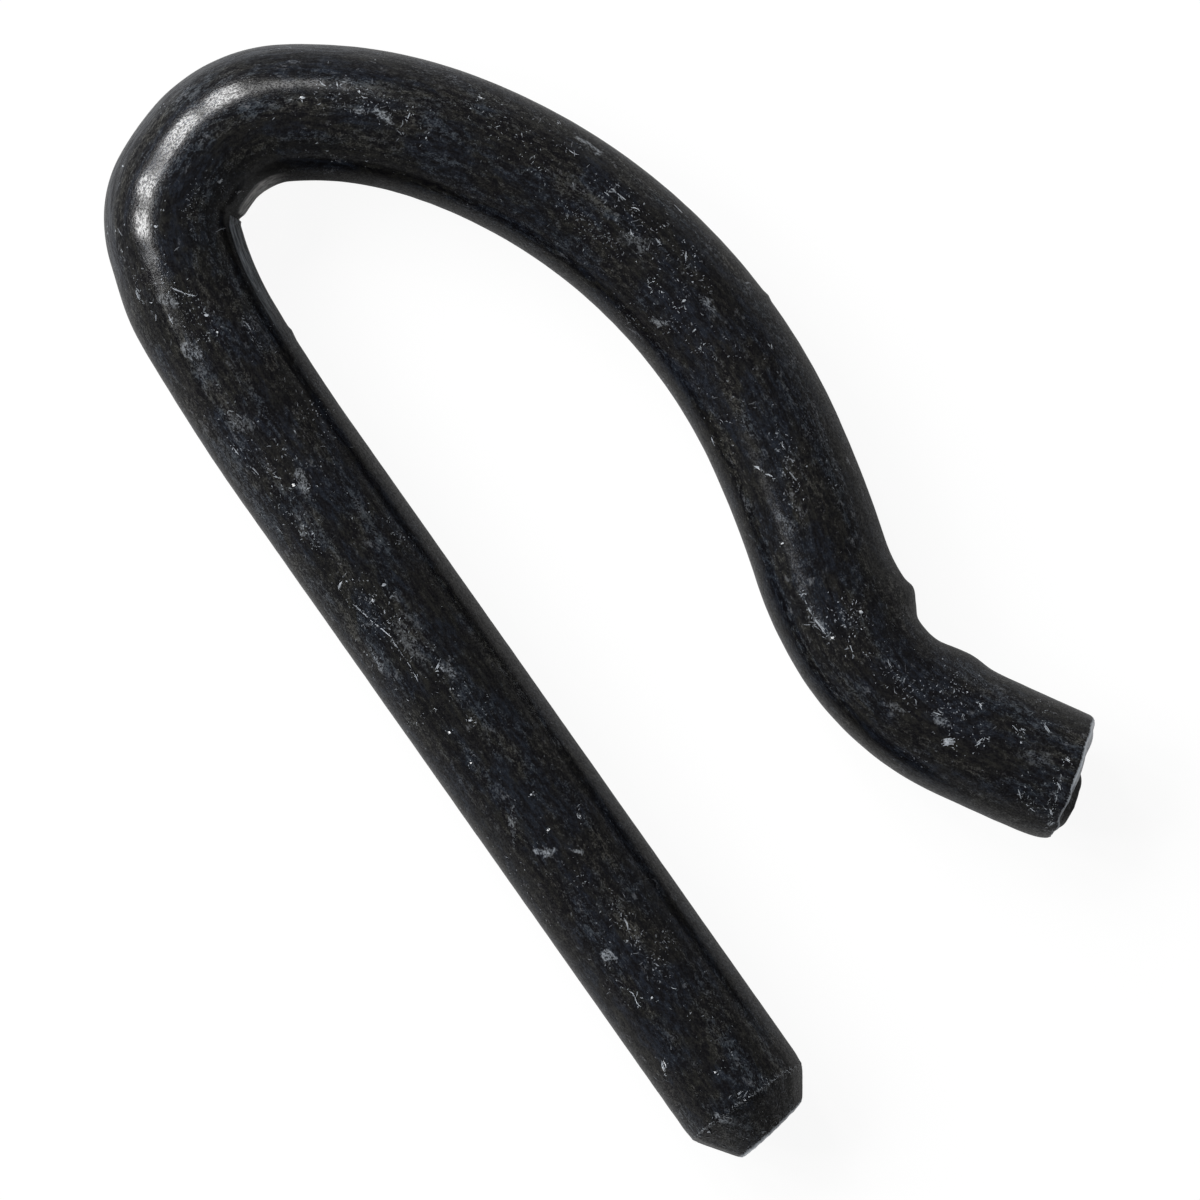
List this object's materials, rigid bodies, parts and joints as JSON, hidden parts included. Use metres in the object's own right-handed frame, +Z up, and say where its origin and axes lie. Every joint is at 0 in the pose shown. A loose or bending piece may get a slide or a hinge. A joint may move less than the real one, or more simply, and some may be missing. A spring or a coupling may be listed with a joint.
{
  "type": "hitch r clip pin",
  "caption": "Spring clip bent from round rod: straight shank with chamfered tip, tight hairpin, bow that grips a hitch pin, kink and short flared end.",
  "frame": {"origin": "on the axis of the straight shank, abreast of the widest part of the bow, where the hitch pin's centre lies", "axes": "+X along the shank towards the chamfered tip, +Y from the shank towards the bow, +Z up; the rod lies flat with its centreline at z = 0"},
  "size_m": [0.0282, 0.0135, 0.0032],
  "materials": {
    "black_coating": "thin black coating on drawn steel rod, semi-gloss, with fine lengthwise drawing lines, light specks and scuffs"
  },
  "bodies": {
    "root": {"clip_rod": "black_coating"}
  },
  "joints": []
}
